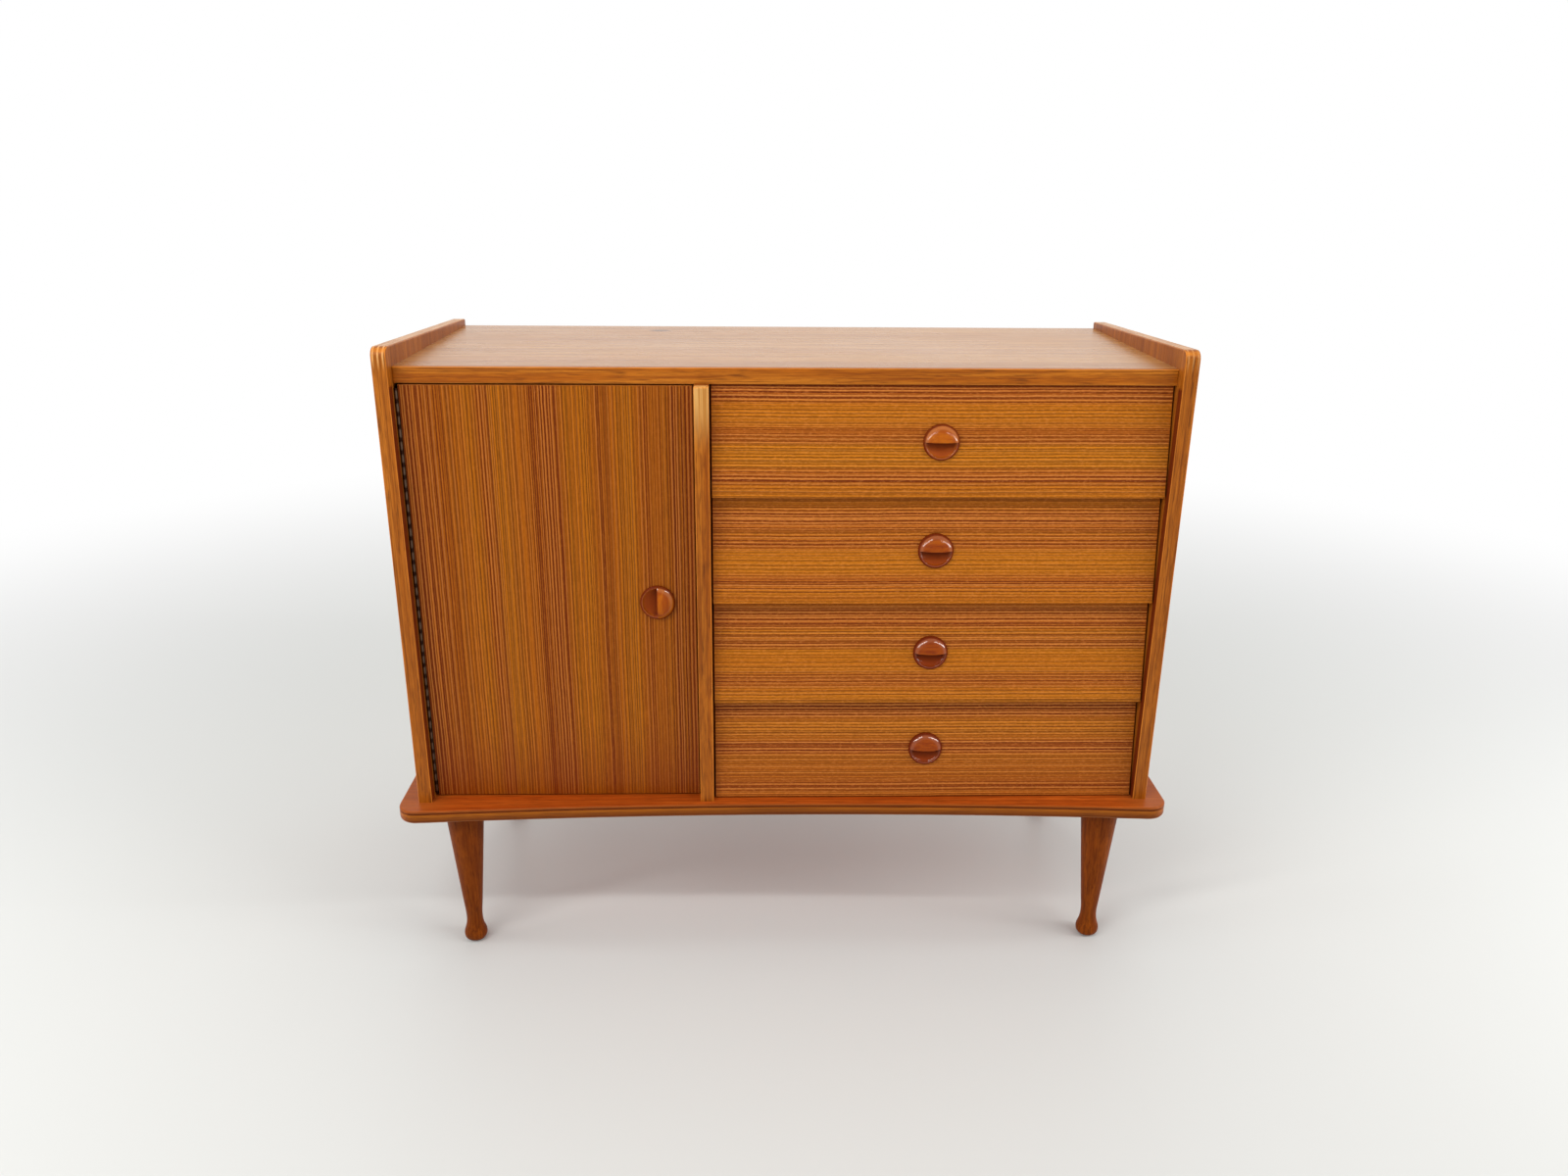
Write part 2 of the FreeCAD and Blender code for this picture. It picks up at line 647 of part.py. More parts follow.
# Drawers: a leaning front, two sides, a back, and a floor let into grooves
side_left = divider_right + drawer_side_play
side_right = inner - drawer_side_play
drawer_end = stop_front - drawer_stop_play
for number, cell in enumerate(cell_floors, 1):
    name = "drawer_" + str(number)
    low = cell + drawer_gap / 2
    high = low + front_height
    front_low = front + drawer_bottom_recess
    front_high = front + drawer_top_recess
    side_low = cell + runner_height + drawer_lift
    side_high = cell + pitch - drawer_head_room
    floor_low = side_low + drawer_floor_drop
    floor_high = floor_low + drawer_floor

    def front_at(height):
        """Where the leaning face of the front lies at a height."""
        return span_place(front_low, front_high, (height - low) / front_height)

    def front_back_at(height):
        """Where the back of the leaning front lies at a height."""
        return front_at(height) + drawer_front_thickness

    outline = ((front_low, low), (front_high, high),
               (front_high + drawer_front_thickness, high), (front_low + drawer_front_thickness, low))
    board = prism_along_x(outline, (divider_right + drawer_end_gap, inner - drawer_end_gap))

    def on_face(edge):
        return all(abs(vertex.Y - front_at(vertex.Z)) < tolerance for vertex in edge.Vertexes)

    board = soften(board, drawer_front_arris, on_face)
    pull_place = Vector((divider_right + inner) / 2, (front_low + front_high) / 2, (low + high) / 2)
    groove = (floor_low - drawer_floor_play, floor_high + drawer_floor_play)
    floor_front = front_back_at(floor_low) - drawer_groove
    groove_x = (side_left + drawer_wall - drawer_groove, side_right - drawer_wall + drawer_groove)
    groove_cut = block(groove_x, (floor_front - drawer_floor_play, drawer_end + overrun), groove)
    keep(name + "_front", cut_all(board, [placed(pull_socket, pull_place, leaning), groove_cut]))
    keep(name + "_pull", placed(pull, pull_place, leaning))
    side_outline = ((front_back_at(side_low), side_low), (front_back_at(side_high), side_high),
                    (drawer_end, side_high), (drawer_end, side_low))
    left_wall = (side_left, side_left + drawer_wall)
    right_wall = (side_right - drawer_wall, side_right)
    for hand, wall in (("_left_side", left_wall), ("_right_side", right_wall)):
        keep(name + hand, prism_along_x(side_outline, wall).cut(groove_cut))
    keep(name + "_back", block((left_wall[1], right_wall[0]), (drawer_end - drawer_wall, drawer_end),
                               (floor_high + drawer_floor_play, side_high - drawer_back_drop)))
    keep(name + "_floor", block((groove_x[0] + drawer_floor_play, groove_x[1] - drawer_floor_play),
                                (floor_front, drawer_end), (floor_low, floor_high)))
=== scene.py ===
import math

import bpy
from mathutils import Matrix, Vector


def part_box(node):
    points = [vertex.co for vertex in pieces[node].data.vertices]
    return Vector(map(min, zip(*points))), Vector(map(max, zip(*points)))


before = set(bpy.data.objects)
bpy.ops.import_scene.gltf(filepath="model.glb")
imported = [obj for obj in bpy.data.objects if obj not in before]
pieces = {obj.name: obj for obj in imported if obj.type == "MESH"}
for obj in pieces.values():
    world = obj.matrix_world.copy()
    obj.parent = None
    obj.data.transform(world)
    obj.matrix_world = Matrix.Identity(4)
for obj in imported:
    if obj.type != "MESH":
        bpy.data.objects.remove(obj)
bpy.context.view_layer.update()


# Platform board: a thick teak-faced board under the whole chest, with a hollow front edge, rounded front
# corners and a fine groove run round the edge with a scratch stock. The dowelled uprights stand on it.
class Wire:
    """One output of a finish's nodes: sums and products of wires add the Math nodes that work them out."""

    def __init__(self, socket):
        self.socket = socket

    def node(self, kind, settings, sockets, out=0):
        """Adds a node of a kind: its settings are set first, then each socket gets a value or a link."""
        tree = self.socket.id_data
        added = tree.nodes.new("ShaderNode" + kind)
        for key, value in settings.items():
            if key == "stops":
                stops = added.color_ramp.elements
                stops[0].position, stops[1].position = value[0][0], value[-1][0]
                for place, _ in value[1:-1]:
                    stops.new(place)
                for stop, (_, shade) in zip(stops, value):
                    stop.color = shade if isinstance(shade, tuple) else (shade, shade, shade, 1)
            else:
                setattr(added, key, value)
        for key, value in sockets.items():
            if isinstance(value, Wire):
                tree.links.new(value.socket, added.inputs[key])
            else:
                added.inputs[key].default_value = value
        return Wire(added.outputs[out])

    def math(self, operation, other=0.0):
        return self.node("Math", {"operation": operation}, {0: self, 1: other})

    def __add__(self, other):
        return self.math("ADD", other)

    def __sub__(self, other):
        return self.math("SUBTRACT", other)

    def __rsub__(self, other):
        return self.node("Math", {"operation": "SUBTRACT"}, {0: other, 1: self})

    def __mul__(self, other):
        return self.math("MULTIPLY", other)

    def __truediv__(self, other):
        return self.math("DIVIDE", other)

    def __abs__(self):
        return self.math("ABSOLUTE")

    __radd__ = __add__
    __rmul__ = __mul__


def tone(red, green, blue):
    """A colour as seen on a screen, 0 to 255, as the linear colour that a shader takes."""
    parts = [value / 255 for value in (red, green, blue)]
    linear = [part / 12.92 if part < 0.04045 else ((part + 0.055) / 1.055) ** 2.4 for part in parts]
    return (*linear, 1.0)


def scaled(colour, share, lift=0):
    """The tone of a screen colour made darker or lighter by a share, and then lifted towards white."""
    return tone(*[min(255, part * share + lift) for part in colour])


def step(value, low, high):
    """0 below low, 1 above high, and a smooth rise between them."""
    return value.node("MapRange", {"interpolation_type": "SMOOTHSTEP"},
                      {"Value": value, "From Min": low, "From Max": high})


def over(mask, under, upper):
    """The upper colour laid over the under one where the mask is 1."""
    return mask.node("Mix", {"data_type": "RGBA"}, {0: mask, 6: under, 7: upper}, 2)


def axes(vector):
    """The three parts of a vector."""
    first = vector.node("SeparateXYZ", {}, {0: vector})
    return [Wire(part) for part in first.socket.node.outputs]


def vector_math(operation, *inputs, out=0):
    """Vector Math on a wire and what follows it; out 1 is the number that a length or dot product gives."""
    return inputs[0].node("VectorMath", {"operation": operation}, dict(enumerate(inputs)), out)


def fibres(place, grain, across, along, seed, detail=2.0):
    """Noise drawn out along the grain: across and along are features to the metre."""
    rates = [across] * 3
    rates[grain] = along
    shift = (seed, seed * 0.7, seed * 1.3)
    drawn = vector_math("MULTIPLY_ADD", place, rates, shift)
    return place.node("TexNoise", {}, {"Vector": drawn, "Scale": 1.0, "Detail": detail, "Roughness": 0.55})


def new_finish(name):
    """A material with its shader, the place on the piece and the way the surface faces."""
    material = bpy.data.materials.new(name)
    material.use_nodes = True
    shader = material.node_tree.nodes["Principled BSDF"]
    place = Wire(shader.outputs[0]).node("TexCoord", {}, {}, "Object")
    facing = Wire(place.socket.node.outputs["Normal"])
    return material, shader, place, facing


def connect(shader, **wires):
    """Links wires to the shader's sockets, named with underscores for spaces."""
    for name, wire in wires.items():
        shader.id_data.links.new(wire.socket, shader.inputs[name.replace("_", " ")])


def emboss(shader, relief, strength, depth):
    """Lets a relief catch the light: depth is in metres."""
    bump = relief.node("Bump", {}, {"Strength": strength, "Distance": depth, "Height": relief})
    connect(shader, Normal=bump)


def rounded_edge(facing):
    """1 on the rounded arrises of a square board, where the surface faces no one axis."""
    x, y, z = [abs(part) for part in axes(facing)]
    return step(1 - x.math("MAXIMUM", y).math("MAXIMUM", z), 0.03, 0.22)


def teak(name, grain, dark, middle, light, seed, wear_and_highlight=0.55, lacquer=0.36, gloss=0.16, square=True,
         fleck=0.35, paint=None):
    """Solid or veneered teak: broad drift of colour, growth lines, pores, pale arrises that are partly wear
    and partly painted highlight, satin lacquer.

    Grain is the axis that the fibres run along, wear_and_highlight and fleck are strengths, lacquer is the
    roughness and gloss the specular level. Only square boards have arrises, and paint adds what one piece
    alone shows.
    """
    material, shader, place, facing = new_finish(name)
    drift = fibres(place, grain, 14.0, 0.9, seed, 3.0)
    streak = fibres(place, grain, 95.0, 2.2, seed + 3.1, 4.0)
    growth = fibres(place, grain, 330.0, 3.5, seed + 7.7, 2.0)
    mottle = step(fibres(place, grain, 420.0, 30.0, seed + 6.1, 3.0), 0.42, 0.62)
    dash = step(fibres(place, grain, 560.0, 26.0, seed + 9.1, 2.0), 0.57, 0.66)
    pore = step(fibres(place, grain, 1300.0, 42.0, seed + 1.9, 1.0), 0.60, 0.74)
    lines = step(growth, 0.50, 0.64)
    colour = over(step(streak, 0.36, 0.66), tone(*middle), tone(*light))
    colour = over(step(drift, 0.42, 0.70) * 0.45, colour, tone(*dark))
    colour = over(lines * 0.55, colour, tone(*dark))
    colour = over(mottle * fleck, colour, tone(*dark))
    colour = over(dash * (fleck + 0.1), colour, scaled(dark, 0.72))
    colour = over(pore * 0.34, colour, scaled(dark, 0.55))
    if paint:
        colour = paint(place, facing, colour)
    # Pale arrises: partly wear, partly painted highlight.
    if square:
        patchy_edge = 0.55 + 0.6 * step(fibres(place, grain, 60.0, 9.0, seed + 5.3), 0.4, 0.65)
        colour = over(rounded_edge(facing) * patchy_edge * wear_and_highlight, colour, scaled(light, 1.12, 14))
    smear = fibres(place, grain, 9.0, 5.0, seed + 11.3, 3.0)
    connect(shader, Base_Color=colour, Roughness=lacquer + 0.10 * pore + 0.12 * (smear - 0.5))
    emboss(shader, 1 - pore * 0.8 - lines * 0.2 - dash * 0.4, 0.22, 0.0003)
    shader.inputs["Specular IOR Level"].default_value = gloss
    return material


def dress(material, *names):
    """Gives CAD pieces a finish."""
    for name in names:
        for holder in pieces[name].material_slots:
            holder.material = material


def platform_edge(place, facing, colour):
    """The board's edge, browner than its face, with thin lines where its plies are glued up, and painted
    shade in its groove.
    """
    low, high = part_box("platform")
    x, _, height = axes(place)
    ragged = abs(x) + 0.03 * (fibres(place, 0, 90.0, 12.0, 43.9, 3.0) - 0.5)
    browner_ends = step(ragged, high[0] - 0.085, high[0] - 0.01) * 0.6
    face = over(browner_ends, colour, tone(150, 84, 34))
    # The stops run from the bottom of the edge up: glued plies, and from 0.73 to 0.80 painted shade in the
    # groove.
    plies_and_groove_shade = place.node("ValToRGB", {"stops": (
        (0.0, tone(98, 46, 6)), (0.12, tone(134, 71, 12)), (0.17, tone(128, 64, 8)),
        (0.22, tone(92, 38, 2)), (0.29, tone(126, 62, 4)), (0.46, tone(136, 69, 6)),
        (0.58, tone(160, 87, 13)), (0.69, tone(160, 87, 12)), (0.73, tone(84, 32, 1)),
        (0.80, tone(84, 32, 1)), (0.86, tone(132, 63, 6)), (1.0, tone(138, 64, 7)))},
        {0: (height - low[2]) / (high[2] - low[2])})
    grained = over(step(fibres(place, 0, 520.0, 6.0, 41.3, 3.0), 0.46, 0.68) * 0.45, plies_and_groove_shade, tone(84, 38, 8))
    return over(1 - step(abs(axes(facing)[2]), 0.78, 0.97), face, grained)


dress(teak("platform_teak", 0, (134, 51, 9), (176, 75, 16), (194, 94, 27), 2.0, wear_and_highlight=0.15, gloss=0.14,
           paint=platform_edge), "platform")


# Legs: turned from solid teak on a lathe, a straight taper down to a narrow ankle and a bulb foot. Each
# screws into the platform on a steel stud, and its grain runs up the leg.
dress(teak("leg_teak", 2, (90, 37, 5), (121, 54, 8), (137, 66, 12), 5.0, lacquer=0.40, gloss=0.06,
           square=False), "front_left_leg", "front_right_leg", "rear_left_leg", "rear_right_leg")


# Leg fittings: plated steel studs and threaded inserts, and pressed glides nailed under the feet. All are
# hidden with the chest on its legs but for a sliver of glide.
def metal(name, colour, tarnish, rough, grain, seed, paint=None):
    """Plated metal: fine scratches along one axis, dull patches and darker tarnish."""
    material, shader, place, facing = new_finish(name)
    cloud = fibres(place, grain, 90.0, 60.0, seed, 4.0)
    scratch = fibres(place, grain, 2600.0, 90.0, seed + 2.2, 1.0)
    stain = step(cloud, 0.52, 0.72)
    shade = over(stain * 0.6, tone(*colour), tone(*tarnish))
    if paint:
        shade = paint(place, facing, shade)
    connect(shader, Base_Color=shade, Roughness=rough + 0.22 * stain + 0.14 * (scratch - 0.5))
    emboss(shader, scratch, 0.12, 0.0001)
    shader.inputs["Metallic"].default_value = 1.0
    return material


dress(metal("zinc_plate", (176, 176, 172), (112, 104, 92), 0.36, 2, 3.0),
      "leg_studs", "leg_inserts", "leg_glides")


# Sides: veneered boards, the grain upright, with a solid teak lipping glued to the front edge. They rise
# above the top, with a rounded front corner, and are dowelled to the platform.
def sheen_on_side_top_edge(place, facing, colour):
    """Painted sheen along the upper edge of a side, pale and patchy."""
    patchy_sheen = 0.5 + 0.5 * step(fibres(place, 1, 300.0, 14.0, 13.7, 3.0), 0.38, 0.62)
    return over(step(axes(facing)[2], 0.90, 0.99) * patchy_sheen * 0.85, colour, tone(216, 168, 120))


dress(teak("side_teak", 2, (120, 56, 9), (156, 84, 18), (176, 102, 29), 11.0, gloss=0.12,
           paint=sheen_on_side_top_edge), "left_side_panel", "right_side_panel")


def lipping_layers_and_painted_light(place, facing, colour):
    """Fine lines where the plies of a lipping meet, pale streaks at its top end that are partly wear and
    partly painted highlight, and painted shade on its inner face.
    """
    seams_to_metre = 420.0
    top_streaks_to_metre = 165.0
    x, _, z = axes(place)
    seam = (abs(x) * seams_to_metre).math("FRACT")
    broken = step(fibres(place, 2, 300.0, 5.0, 19.9, 2.0), 0.40, 0.60)
    colour = over(step(abs(seam - 0.5), 0.40, 0.48) * broken * 0.55, colour, tone(112, 54, 10))
    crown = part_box("left_side_lipping")[1][2]
    # Pale streaks at the top end: partly wear, partly painted highlight, stronger on the left lipping.
    top_streak = step(abs((abs(x) * top_streaks_to_metre).math("FRACT") - 0.5), 0.26, 0.40)
    stronger_highlight_on_left = 0.35 + 0.35 * step(0 - x, -0.1, 0.1)
    colour = over(step(z, crown - 0.030, crown - 0.010) * top_streak * stronger_highlight_on_left, colour, tone(240, 178, 108))
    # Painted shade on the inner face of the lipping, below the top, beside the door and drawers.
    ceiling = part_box("top_lipping")[0][2]
    inward = step(0 - axes(facing)[0] * x.math("SIGN"), 0.80, 0.97)
    return over(inward * (1 - step(z, ceiling - 0.004, ceiling)) * 0.85, colour, tone(92, 22, 8))


dress(teak("side_lipping_teak", 2, (118, 56, 8), (164, 88, 16), (186, 108, 30), 17.0, wear_and_highlight=0.7, fleck=0.45,
           paint=lipping_layers_and_painted_light), "left_side_lipping", "right_side_lipping")


# Divider: a veneered upright between the cupboard and the drawers, its front edge lipped with paler teak
# that stands level with the sides.
def sheen_on_lipping_top_end(place, facing, colour):
    """Painted sheen towards the top end of the lipping, pale and streaky."""
    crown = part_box("divider_lipping")[1][2]
    streak = fibres(place, 2, 420.0, 8.0, 27.5, 3.0)
    ragged = axes(place)[2] + 0.06 * (streak - 0.5)
    sheen_tone = over(step(streak, 0.42, 0.62), tone(224, 172, 100), tone(190, 128, 58))
    return over(step(ragged, crown - 0.085, crown - 0.015) * 0.85, colour, sheen_tone)


dress(teak("divider_teak", 2, (112, 50, 12), (152, 78, 24), (172, 96, 34), 23.0), "divider")
dress(teak("divider_lipping_teak", 2, (118, 54, 8), (163, 85, 13), (187, 108, 27), 29.0, wear_and_highlight=0.9,
           fleck=0.55, paint=sheen_on_lipping_top_end), "divider_lipping")


# Top: a veneered board let in between the sides on dowels, the grain running the long way, with a solid
# teak lipping along its front edge. It takes the most light and has the smoothest lacquer. Its colours are
# paler and yellower than the sides': partly painted sheen.
def small_knot(place, facing, colour):
    """A small closed knot near the back of the board, drawn out along the grain."""
    knot_rates = (45, 72, 0)
    knot_shift = (8.2, -12.1, 0)
    reach = vector_math("LENGTH", vector_math("MULTIPLY_ADD", place, knot_rates, knot_shift), out=1)
    ragged = reach + 0.5 * (fibres(place, 0, 240.0, 60.0, 33.3, 2.0) - 0.5)
    return over((1 - step(ragged, 0.25, 1.0)) * 0.85, colour, tone(78, 36, 12))


dress(teak("top_teak", 0, (146, 88, 34), (180, 120, 54), (198, 144, 76), 31.0, lacquer=0.27, gloss=0.8,
           fleck=0.2, paint=small_knot), "top_panel")
dress(teak("top_lipping_teak", 0, (120, 54, 6), (174, 93, 15), (198, 118, 31), 37.0, wear_and_highlight=0.7, fleck=0.4),
      "top_lipping")


# Dowels and drawer runners: planed beech, left bare or waxed. The runners are glued and pinned to the
# divider and the right side, with a stop block behind each drawer.
def beech(name, grain, seed):
    """Bare beech: pale, even, with short dark flecks along the grain."""
    material, shader, place, facing = new_finish(name)
    drift = fibres(place, grain, 40.0, 2.0, seed, 3.0)
    fleck = step(fibres(place, grain, 900.0, 120.0, seed + 4.0, 1.0), 0.62, 0.74)
    colour = over(step(drift, 0.35, 0.68), tone(198, 156, 106), tone(216, 180, 132))
    colour = over(fleck * 0.5, colour, tone(142, 96, 54))
    colour = over(rounded_edge(facing) * 0.3, colour, tone(226, 196, 152))
    connect(shader, Base_Color=colour, Roughness=0.52 + 0.10 * fleck + 0.1 * (drift - 0.5))
    emboss(shader, 1 - fleck * 0.7, 0.2, 0.0002)
    return material


dress(beech("runner_beech", 1, 41.0),
      "left_runners", "right_runners", "drawer_stops", "base_dowels", "top_dowels")


# Back: thin plywood let into rebates and screwed to the sides, top and divider with round-headed screws.
# Its face ply is peeled, so the figure is broad and wild, and it has never been lacquered.
def plywood(name, grain, seed):
    """Bare plywood: the broad, wandering figure of a peeled face ply, with open pores."""
    rings_in_figure = 38.0
    material, shader, place, _ = new_finish(name)
    rough_cut = fibres(place, grain, 160.0, 6.0, seed + 2.0, 2.0)
    swirl = fibres(place, grain, 4.6, 0.7, seed, 2.0) + 0.012 * rough_cut
    rings = (swirl * rings_in_figure).math("FRACT")
    pore = step(fibres(place, grain, 800.0, 34.0, seed + 6.0, 1.0), 0.60, 0.74)
    patch = step(fibres(place, grain, 3.0, 1.2, seed + 9.0, 3.0), 0.35, 0.65)
    colour = over(patch, tone(188, 142, 90), tone(202, 158, 106))
    colour = over(step(rings, 0.1, 1.0) * 0.6, colour, tone(158, 108, 62))
    colour = over(pore * 0.45, colour, tone(120, 78, 42))
    connect(shader, Base_Color=colour, Roughness=0.62 + 0.12 * pore + 0.08 * (swirl - 0.5))
    emboss(shader, 1 - pore * 0.7, 0.25, 0.0003)
    return material


dress(plywood("back_plywood", 0, 47.0), "back_panel")
dress(metal("screw_steel", (168, 166, 160), (104, 92, 76), 0.4, 0, 51.0), "back_panel_screws")


# Cupboard shelf: a teak-faced board between the left side and the divider, its grain running the long way.
# It lies loose on four brass pins pushed into blind holes.
dress(teak("shelf_teak", 0, (118, 56, 22), (162, 90, 40), (186, 112, 56), 53.0), "cupboard_shelf")
dress(metal("pin_brass", (202, 164, 88), (124, 88, 40), 0.3, 0, 57.0), "shelf_pins")


# Drawers: a leaning front in striped veneer on a beech box with a plywood floor in grooves. The veneer runs
# along each front, with dark lines gathered in bands that differ from one front to the next.
def striped_veneer(name, node, across, bands, ground, reddish, depth, crowd, mottle, painted_foot_shade, seed):
    """Striped face veneer on the front of one board; its edges and back are plain teak.

    The stripes follow one another along the axis across, and bands says how thickly dark lines gather over
    that width. Ground is the colour between the lines and reddish the one in the bands. Depth is how dark
    the figure gets, crowd how many lines a band adds, mottle the strength of the grit and painted_foot_shade
    that of the painted red shade near the platform, for light thrown up off it and less light low down.
    """
    along = 2 - across
    material, shader, place, facing = new_finish(name)
    parts = axes(place)
    low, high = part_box(node)
    sway = place.node("TexNoise", {"noise_dimensions": "1D"},
                      {"W": parts[along] + seed, "Scale": 2.6, "Detail": 1.0})
    wobble = fibres(place, along, 60.0, 38.0, seed + 6.6, 2.0)
    line_place = parts[across] + (sway - 0.5) * 0.004 + (wobble - 0.5) * 0.0009 + seed

    def lines(rate, detail):
        return place.node("TexNoise", {"noise_dimensions": "1D"},
                          {"W": line_place, "Scale": rate, "Detail": detail, "Roughness": 0.6})

    share = (parts[across] - low[across]) / (high[across] - low[across])
    band = place.node("ValToRGB", {"stops": bands}, {0: share})
    lasting = 0.6 + 0.8 * (fibres(place, along, 260.0, 4.0, seed + 2.0, 3.0) - 0.25)
    speckle = fibres(place, along, 520.0, 60.0, seed + 5.0, 2.0)
    comb = (line_place * 1480.0 + 9.0 * lines(45.0, 0.0)).math("SINE")
    figure = lines(480.0, 1.0) + 0.05 * comb + 0.14 * (speckle - 0.5)
    stripe = lines(430.0, 0.0) + 0.11 * comb + 0.10 * (speckle - 0.5)
    dark_line = step(stripe, 0.605 - crowd * band, 0.65 - crowd * band) * lasting * (0.22 + 0.75 * band)
    pale_line = step(1 - stripe, 0.635 - 0.05 * band, 0.675 - 0.045 * band) * lasting * (0.2 + 0.5 * band)
    zone = step(lines(26.0, 2.0), 0.34, 0.66)
    pore = step(fibres(place, along, 1200.0, 36.0, seed + 4.4, 1.0), 0.60, 0.74)
    pale = tone(ground[0] * 1.12, ground[1] * 1.2, ground[2] + 44)
    colour = over(step(figure, 0.36, 0.62), scaled(ground, 1.06), scaled(ground, depth))
    colour = over(zone * 0.34, colour, tone(ground[0] * 0.88, ground[1] * 0.75, ground[2] * 0.9))
    colour = over(band * 0.46, colour, tone(*reddish))
    colour = over(pale_line, colour, pale)
    colour = over(dark_line, colour, tone(90, 22, 4))
    colour = over(pore * 0.28, colour, tone(84, 38, 6))
    grit = fibres(place, along, 640.0, 210.0, seed + 7.7, 2.0)
    colour = over(step(grit, 0.50, 0.64) * mottle, colour, scaled(ground, 0.62))
    colour = over(step(1 - grit, 0.52, 0.66) * mottle * 0.85, colour, pale)
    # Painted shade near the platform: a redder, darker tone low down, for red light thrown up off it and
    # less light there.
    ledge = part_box("platform")[1][2]
    colour = over((1 - step(parts[2], ledge, ledge + 0.13)) * painted_foot_shade, colour, tone(118, 40, 8))
    face = step(0 - axes(facing)[1], 0.80, 0.96)
    edge = fibres(place, along, 220.0, 4.0, seed + 8.8, 3.0)
    plain = over(step(edge, 0.4, 0.65), tone(136, 66, 16), tone(164, 90, 28))
    colour = over(face, plain, colour)
    # Pale arrises: partly wear, partly painted highlight.
    colour = over(rounded_edge(facing) * 0.35, colour, tone(196, 122, 50))
    smear = fibres(place, along, 7.0, 4.0, seed + 12.0, 3.0)
    connect(shader, Base_Color=colour, Roughness=0.38 + 0.09 * pore + 0.12 * (smear - 0.5))
    emboss(shader, 1 - pore * 0.7 - dark_line * 0.3, 0.2, 0.0003)
    shader.inputs["Specular IOR Level"].default_value = 0.09
    return material


# How thickly the dark lines gather, from the bottom edge of each front to its top edge.
# The dense band at the top of drawer_1 is partly painted shadow under the top's lipping.
front_bands = {
    "drawer_1": ((0.0, 0.25), (0.1, 0.35), (0.16, 0.9), (0.24, 0.8), (0.29, 0.1), (0.46, 0.1), (0.5, 0.75),
                 (0.6, 0.7), (0.65, 0.1), (0.82, 0.1), (0.88, 0.9), (1.0, 1.0)),
    "drawer_2": ((0.0, 0.2), (0.1, 0.3), (0.16, 0.95), (0.24, 0.8), (0.29, 0.05), (0.48, 0.05), (0.53, 0.8),
                 (0.62, 0.7), (0.66, 0.35), (0.7, 0.95), (0.84, 0.9), (0.9, 0.4), (1.0, 0.3)),
    "drawer_3": ((0.0, 0.25), (0.14, 0.3), (0.2, 0.85), (0.28, 0.8), (0.34, 0.05), (0.52, 0.05),
                 (0.57, 0.85), (0.66, 0.75), (0.7, 0.3), (0.76, 0.95), (0.9, 0.9), (1.0, 0.35)),
    "drawer_4": ((0.0, 0.6), (0.1, 0.8), (0.2, 0.45), (0.3, 0.6), (0.42, 0.3), (0.46, 1.0), (0.56, 0.95),
                 (0.6, 0.3), (0.78, 0.4), (0.86, 1.0), (1.0, 1.0)),
}
box_beech = beech("drawer_beech", 1, 61.0)
back_beech = beech("drawer_back_beech", 0, 63.0)
floor_plywood = plywood("drawer_plywood", 0, 67.0)
for count, (drawer, bands) in enumerate(front_bands.items()):
    front = drawer + "_front"
    dress(striped_veneer(drawer + "_veneer", front, 2, bands, (200, 118, 22), (150, 61, 34), depth=0.69,
                         crowd=0.09, mottle=0.26, painted_foot_shade=0.15, seed=71.0 + 3.7 * count), front)
    dress(box_beech, drawer + "_left_side", drawer + "_right_side")
    dress(back_beech, drawer + "_back")
    dress(floor_plywood, drawer + "_floor")


# Pulls: turned teak discs glued into the fronts on a spigot, one half left as a raised dome, the other
# scooped out as a finger hold inside a rim. They are stained redder and have a glossier lacquer.
def from_middle(place, box, plane):
    """The way from the middle of a piece's box to a place, and how long it is, measured in a plane."""
    low, high = box
    middle = (Vector(low) + Vector(high)) / 2
    away = vector_math("SUBTRACT", place, middle)
    return away, vector_math("LENGTH", vector_math("MULTIPLY", away, plane), out=1)


